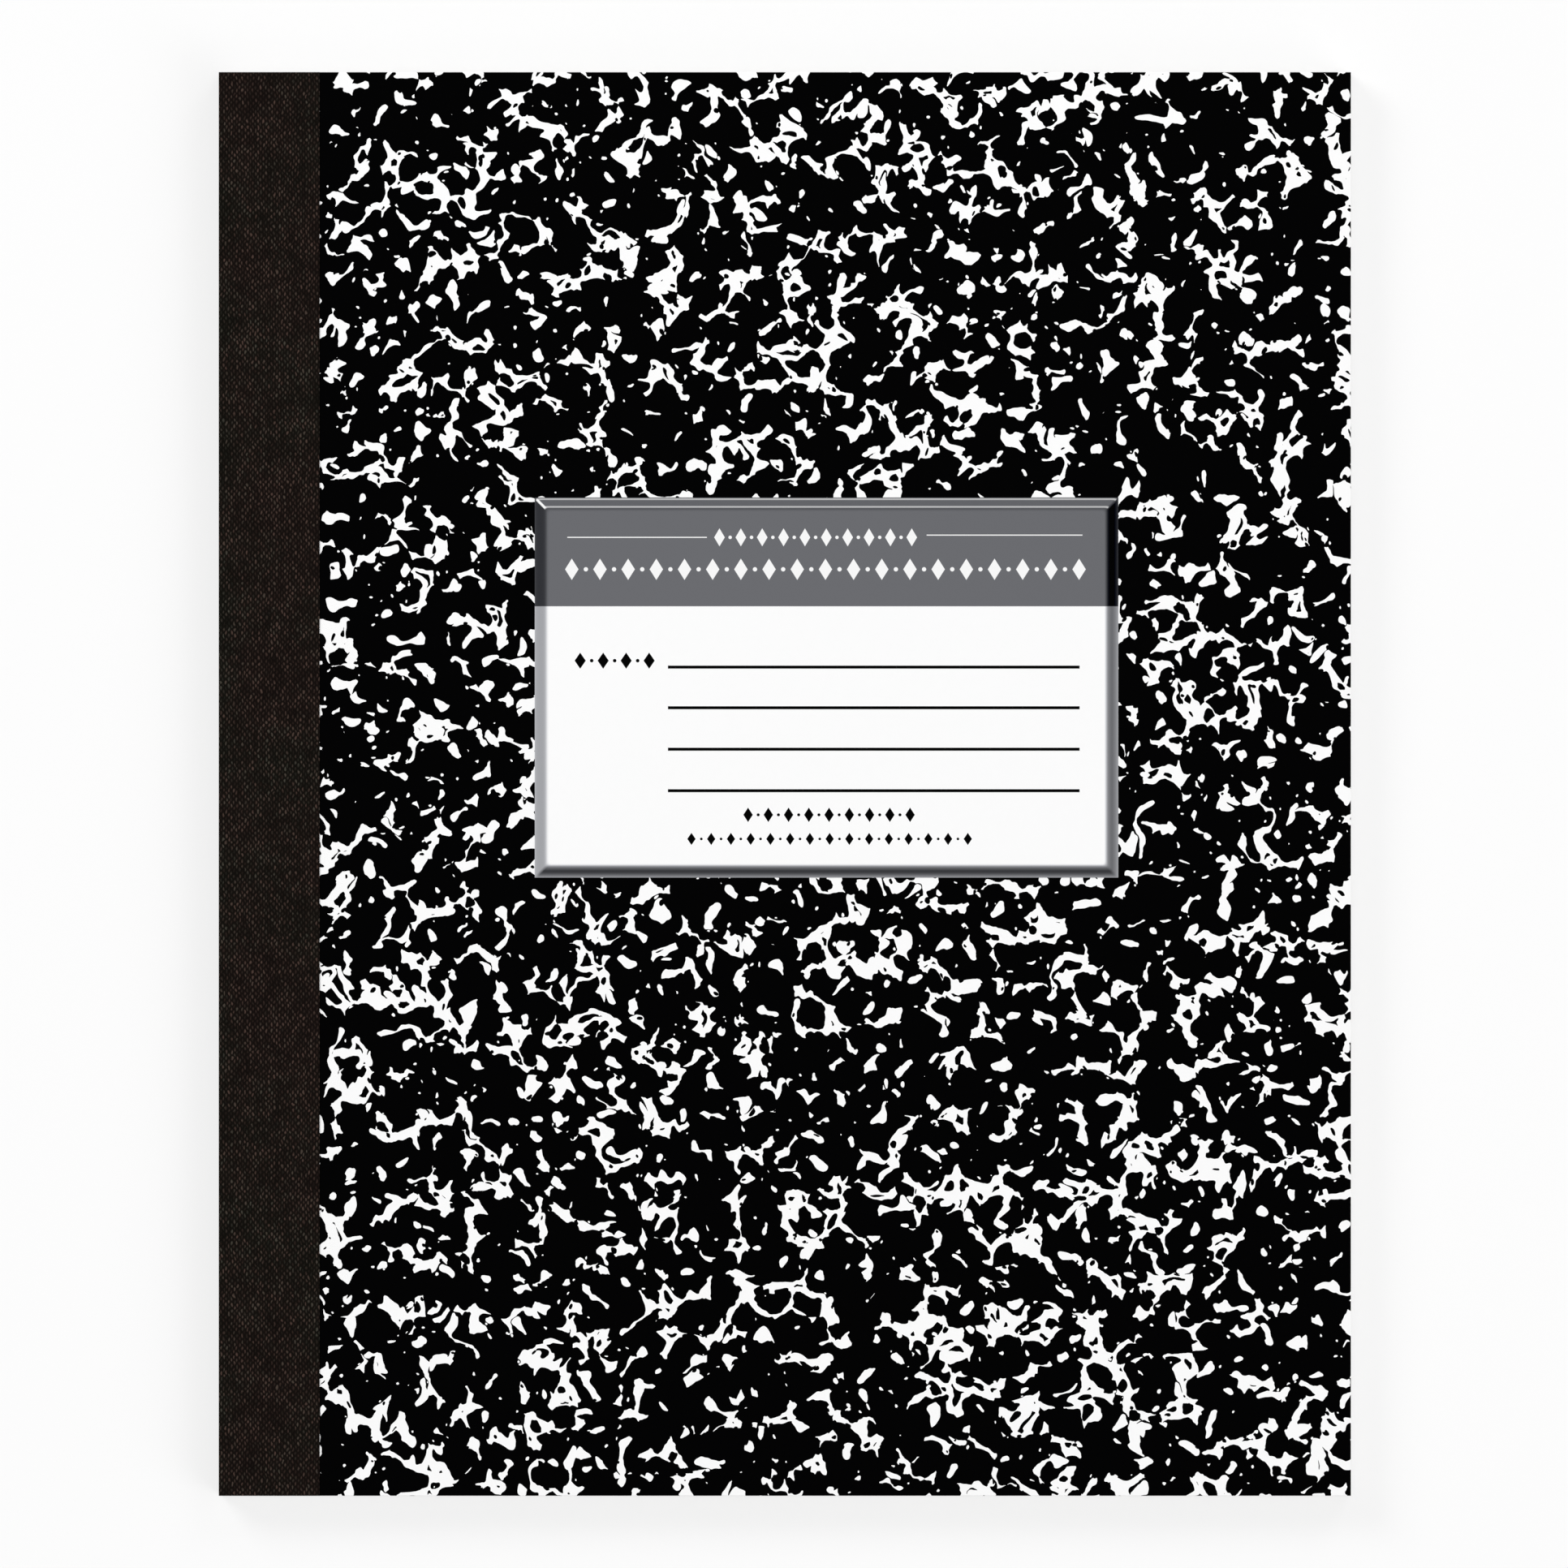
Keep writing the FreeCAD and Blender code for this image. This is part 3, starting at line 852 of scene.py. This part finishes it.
def box_mask(left, right, bottom, top):
    """1 inside an upright box on the label."""
    across = between(tree, x_mm, left, right, SOFT)
    return maths(tree, "MULTIPLY", across, between(tree, y_mm, bottom, top, SOFT))


def either(masks):
    """1 where any of the masks is 1."""
    total = masks[0]
    for mask in masks[1:]:
        total = maths(tree, "MAXIMUM", total, mask)
    return total


def ornament_row(left, right, y, pitch, tall, wide):
    """A row of lozenges from left to right, with a dot between each two."""
    count = max(round((right - left - wide) / pitch), 1)
    real_pitch = (right - left - wide) / count
    along = maths(tree, "SUBTRACT", x_mm, left + wide / 2)
    step = maths(tree, "MULTIPLY", along, 1.0 / real_pitch)
    aside = maths(tree, "MULTIPLY", maths(tree, "PINGPONG", step, 0.5), real_pitch)
    up = maths(tree, "ABSOLUTE", maths(tree, "SUBTRACT", y_mm, y))
    reach = maths(tree, "ADD", maths(tree, "DIVIDE", aside, wide / 2), maths(tree, "DIVIDE", up, tall / 2))
    lozenge = below(tree, reach, 1.0, ORNAMENT_SOFT)
    dot_aside = maths(tree, "SUBTRACT", real_pitch / 2, aside)
    square = maths(tree, "MULTIPLY_ADD", dot_aside, dot_aside, maths(tree, "MULTIPLY", up, up))
    dot = below(tree, maths(tree, "SQRT", square), wide * DOT_SHARE, ORNAMENT_SOFT)
    row = maths(tree, "MAXIMUM", lozenge, dot)
    return maths(tree, "MULTIPLY", row, between(tree, x_mm, left - SOFT, right + SOFT, SOFT))


in_header = maths(tree, "GREATER_THAN", y_mm, HEADER_FOOT)
header_print = either(
    [box_mask(left, right, y - RULE_WIDTH / 2, y + RULE_WIDTH / 2) for left, right, y in HEADER_RULES]
    + [ornament_row(*row) for row in HEADER_ORNAMENTS]
)
field_print = either(
    [box_mask(WRITING_FROM, WRITING_TO, y - WRITING_WIDTH / 2, y + WRITING_WIDTH / 2) for y in WRITING_LINES]
    + [ornament_row(*row) for row in FIELD_ORNAMENTS]
)
print("label masks:", len(tree.nodes), "nodes")

# %% [markdown]
# ## Painted shade on the ramp
# The ramp is toned as if lit from the upper left: its top is nearly white, its left side pale, its right
# side grey and its lower side dark. Real light on so low a ramp is far weaker, so this light and shade is
# painted into the colour. Four ramps of painted shade, one for each side, run over the distance to the edge,
# and that distance is rounded a little at the corners, so that the mitres look soft.

# %% Painted shade of the four sides
TONE_REACH = 2.5
CORNER_SOFT = 0.9
MITRE_SOFT = 0.8
to_left = maths(tree, "SUBTRACT", x_mm, label_low.x / MM)
to_right = maths(tree, "SUBTRACT", label_high.x / MM, x_mm)
to_bottom = maths(tree, "SUBTRACT", y_mm, label_low.y / MM)
to_top = maths(tree, "SUBTRACT", label_high.y / MM, y_mm)


def painted_shade_ramp(distance, stops):
    """Painted shade as the light kept, from stops of distance in millimetres and sRGB tone on white paper.
    """
    share = maths(tree, "MULTIPLY", distance, 1.0 / TONE_REACH)
    ramp = add_node(tree, "ShaderNodeValToRGB", {0: share})
    elements = ramp.color_ramp.elements
    for index, (at, tone) in enumerate(stops):
        level = ((tone / 255 + 0.055) / 1.055) ** 2.4
        element = elements[index] if index < 2 else elements.new(at / TONE_REACH)
        element.position = at / TONE_REACH
        element.color = (level, level, level, 1.0)
    return ramp.outputs[0]


nearest_side = maths(tree, "MINIMUM", to_left, to_right)
nearest_upright = maths(tree, "MINIMUM", to_bottom, to_top)
from_edge = maths(tree, "SMOOTH_MIN", nearest_side, nearest_upright, CORNER_SOFT)
# Painted shade for each side, as if lit from the upper left: left pale, right grey, bottom dark, top nearly
# white.
left_painted_shade = painted_shade_ramp(from_edge, [(0.0, 190), (2.5, 255), (0.3, 171), (0.9, 167), (1.35, 168), (1.68, 173),
                                  (1.95, 195), (2.22, 235)])
right_painted_shade = painted_shade_ramp(from_edge, [(0.0, 166), (2.5, 255), (0.3, 145), (0.6, 129), (1.05, 112), (1.32, 114),
                                   (1.6, 124), (1.85, 141), (2.1, 188), (2.38, 244)])
bottom_painted_shade = painted_shade_ramp(from_edge, [(0.0, 152), (2.5, 255), (0.17, 141), (0.44, 110), (0.72, 83), (1.0, 62),
                                    (1.22, 62), (1.54, 88), (1.81, 116), (2.08, 167), (2.34, 243)])
top_painted_shade = painted_shade_ramp(from_edge, [(0.0, 200), (2.5, 255), (0.1, 235), (0.5, 239), (1.45, 239), (1.8, 226),
                                 (2.07, 220), (2.34, 248)])
side_painted_shade = mix_colours(tree, maths(tree, "LESS_THAN", to_right, to_left), left_painted_shade, right_painted_shade)
upright_painted_shade = mix_colours(tree, maths(tree, "LESS_THAN", to_top, to_bottom), bottom_painted_shade, top_painted_shade)
off_corner = maths(tree, "SUBTRACT", nearest_upright, nearest_side)
ramp_painted_shade = mix_colours(tree, below(tree, off_corner, 0.0, MITRE_SOFT), side_painted_shade, upright_painted_shade)
print("tones of the ramp:", len(tree.nodes), "nodes")

# %% Printed colours under the painted shade
HEADER_GREY = (0.1455, 0.1484, 0.1605, 1.0)
# The white of the header's print, which is also the white of the painted highlights on the ramp.
HEADER_WHITE_AND_HIGHLIGHT = (0.93, 0.93, 0.93, 1.0)
FIELD_BLACK = (0.001, 0.001, 0.001, 1.0)
NO_CAST = (1.0, 1.0, 1.0, 1.0)
SHADE_CAST = (0.975, 0.988, 1.038, 1.0)
CAST_GAIN = 2.0
SHADE_DEPTH = 0.05
DEEPEST = (0.0007, 0.0007, 0.0007)

card = place_group(tree, fibre_tree, Place=place, Colour=PAPER_WHITE, Mottle=0.012)
header_colour = mix_colours(tree, header_print, HEADER_GREY, HEADER_WHITE_AND_HIGHLIGHT)
field_colour = mix_colours(tree, field_print, card["Colour"], FIELD_BLACK)
# The painted shade darkens the printed colours and gives them a slight cool cast.
shaded = maths(tree, "MULTIPLY", maths(tree, "SUBTRACT", 1.0, ramp_painted_shade), CAST_GAIN, clamp=True)
shade_cast = mix_colours(tree, shaded, NO_CAST, SHADE_CAST)
field_colour = vectors(tree, "MULTIPLY", field_colour, shade_cast)
printed = mix_colours(tree, in_header, field_colour, header_colour)
kept = maths(tree, "MULTIPLY_ADD", ramp_painted_shade, 1.0 / (1.0 + SHADE_DEPTH), SHADE_DEPTH / (1.0 + SHADE_DEPTH))
lost = maths(tree, "MULTIPLY", maths(tree, "SUBTRACT", 1.0, kept), SHADE_DEPTH)
lost_colour = add_node(tree, "ShaderNodeCombineXYZ", {0: lost, 1: lost, 2: lost}).outputs[0]
print_with_painted_light = vectors(tree, "SUBTRACT", scale_colour(tree, printed, kept), lost_colour)
print_with_painted_light = vectors(tree, "MAXIMUM", print_with_painted_light, DEEPEST)
print("printed colours:", len(tree.nodes), "nodes")

# %% Painted glints on the ramp
GLINT_LINES = [0.28, 1.66]
GLINT_WIDTH = 0.27
GLINT_SOFT = 0.14
GLINT_STRENGTH = 0.48
MITRE_WIDTH = 0.30
MITRE_FROM, MITRE_TO = 0.15, 1.75
MITRE_EDGE = 0.2
MITRE_REACH = 3.0

# Painted highlights: two glint lines along the top side of the ramp and one along its upper left mitre.
on_top_side = maths(tree, "MULTIPLY",
                    maths(tree, "LESS_THAN", to_top, to_bottom),
                    maths(tree, "LESS_THAN", to_top, nearest_side))
half_glint = GLINT_WIDTH / 2
lines = [between(tree, from_edge, at - half_glint, at + half_glint, GLINT_SOFT) for at in GLINT_LINES]
painted_glints = maths(tree, "MULTIPLY", either(lines), on_top_side)
off_mitre = maths(tree, "ABSOLUTE", maths(tree, "SUBTRACT", to_left, to_top))
painted_mitre_glint = maths(tree, "MULTIPLY",
                    below(tree, off_mitre, MITRE_WIDTH, MITRE_EDGE),
                    between(tree, from_edge, MITRE_FROM, MITRE_TO, MITRE_EDGE))
painted_mitre_glint = maths(tree, "MULTIPLY", painted_mitre_glint, maths(tree, "LESS_THAN", to_top, MITRE_REACH))
print_with_painted_light = mix_colours(tree, maths(tree, "MULTIPLY", painted_glints, GLINT_STRENGTH), print_with_painted_light, HEADER_WHITE_AND_HIGHLIGHT)
print_with_painted_light = mix_colours(tree, painted_mitre_glint, print_with_painted_light, HEADER_WHITE_AND_HIGHLIGHT)
tree.links.new(print_with_painted_light, shader.inputs["Base Color"])
add_relief(tree, shader, card["Height"], depth=0.000004)
label_card.data.materials.append(label_material)
print("label material:", len(tree.nodes), "nodes")

# %% [markdown]
# ## Studio
# The book lies on a plain white sweep under soft lamps at the level where a colour renders as it
# is written. More light would whiten the background but wash out the blacks. So the sweep gives
# the camera some white of its own, and still takes the book's faint shadow.

# %% White sweep
SWEEP_RADIUS = 6.0
SWEEP_ROUND = 2.0
SWEEP_SIDES = 96
SWEEP_STEPS = 12
FLOOR_Z = -0.00002

bm = bmesh.new()
bmesh.ops.create_circle(bm, cap_ends=True, radius=SWEEP_RADIUS, segments=SWEEP_SIDES)
bmesh.ops.translate(bm, verts=list(bm.verts), vec=(0.0, 0.0, FLOOR_Z))
rim = [edge for edge in bm.edges if edge.is_boundary]
for step in range(SWEEP_STEPS):
    turn = math.pi / 2 * (step + 1) / SWEEP_STEPS
    made = bmesh.ops.extrude_edge_only(bm, edges=rim)["geom"]
    rim = [edge for edge in only(bmesh.types.BMEdge, made) if edge.is_boundary]
    radius = SWEEP_RADIUS + SWEEP_ROUND * math.sin(turn)
    for vert in {vert for edge in rim for vert in edge.verts}:
        flat = Vector((vert.co.x, vert.co.y, 0.0)).normalized() * radius
        vert.co = (flat.x, flat.y, FLOOR_Z + SWEEP_ROUND * (1 - math.cos(turn)))
bmesh.ops.recalc_face_normals(bm, faces=list(bm.faces))
white_sweep = make_piece("white_sweep", bm)
print("sweep", len(white_sweep.data.polygons), "faces")

# %% Finish of the sweep
FLOOR_WHITE = (0.94, 0.94, 0.94, 1.0)
PURE_WHITE = (1.0, 1.0, 1.0, 1.0)
OWN_WHITE_SHARE = 0.7

sweep_material = bpy.data.materials.new("white_sweep")
sweep_material.use_nodes = True
tree = sweep_material.node_tree
tree.nodes.remove(tree.nodes["Principled BSDF"])
lit = add_node(tree, "ShaderNodeBsdfDiffuse", {"Color": FLOOR_WHITE})
own_white = add_node(tree, "ShaderNodeEmission", {"Color": PURE_WHITE, "Strength": 1.0})
path = tree.nodes.new("ShaderNodeLightPath").outputs
seen = maths(tree, "MAXIMUM", path["Is Camera Ray"], path["Is Glossy Ray"])
seen = maths(tree, "MAXIMUM", seen, path["Is Transmission Ray"])
share = maths(tree, "MULTIPLY", seen, OWN_WHITE_SHARE)
blend = add_node(tree, "ShaderNodeMixShader", {0: share, 1: lit.outputs[0], 2: own_white.outputs[0]})
tree.links.new(blend.outputs[0], tree.nodes["Material Output"].inputs["Surface"])
white_sweep.data.materials.append(sweep_material)
print("sweep material:", len(tree.nodes), "nodes")

# %% Lamps and world
ROOM_STRENGTH = 0.44
world = bpy.data.worlds.new("soft_room")
bpy.context.scene.world = world
world.use_nodes = True
world.node_tree.nodes["Background"].inputs["Color"].default_value = PURE_WHITE
world.node_tree.nodes["Background"].inputs["Strength"].default_value = ROOM_STRENGTH


def soft_lamp(name, place, size, power):
    """A square area lamp that faces the book."""
    lamp = bpy.data.lights.new(name, "AREA")
    lamp.size = size
    lamp.energy = power
    holder = bpy.data.objects.new(name, lamp)
    holder.location = place
    holder.rotation_euler = (-Vector(place)).to_track_quat("-Z", "Y").to_euler()
    bpy.context.scene.collection.objects.link(holder)


soft_lamp("key_lamp", (-1.7, 1.5, 1.5), size=1.2, power=41)
soft_lamp("fill_lamp", (1.9, -1.2, 1.4), size=1.5, power=24.5)
soft_lamp("rear_lamp", (1.2, 2.0, 1.5), size=1.2, power=14)

# %% [markdown]
# ## Camera
# The book is seen from straight above with no visible perspective, so the camera stands far off
# with a long lens. A flat projection would do as well, but a real lens keeps the side views true.

# %% Camera
PHOTO_PIXELS = 1932
PHOTO_SCALE = 0.0001448
PHOTO_CENTRE_X = -0.00014
LENS = 400.0
SENSOR = 36.0
camera_data = bpy.data.cameras.new("camera")
camera_data.lens = LENS
camera_data.sensor_width = SENSOR
camera = bpy.data.objects.new("camera", camera_data)
distance = PHOTO_PIXELS * PHOTO_SCALE * LENS / SENSOR
camera.location = (PHOTO_CENTRE_X, 0.0, board_high.z + distance)
bpy.context.scene.collection.objects.link(camera)
bpy.context.scene.camera = camera
bpy.context.scene.view_settings.view_transform = "Standard"
print("camera", round(distance, 3), "m above the book")
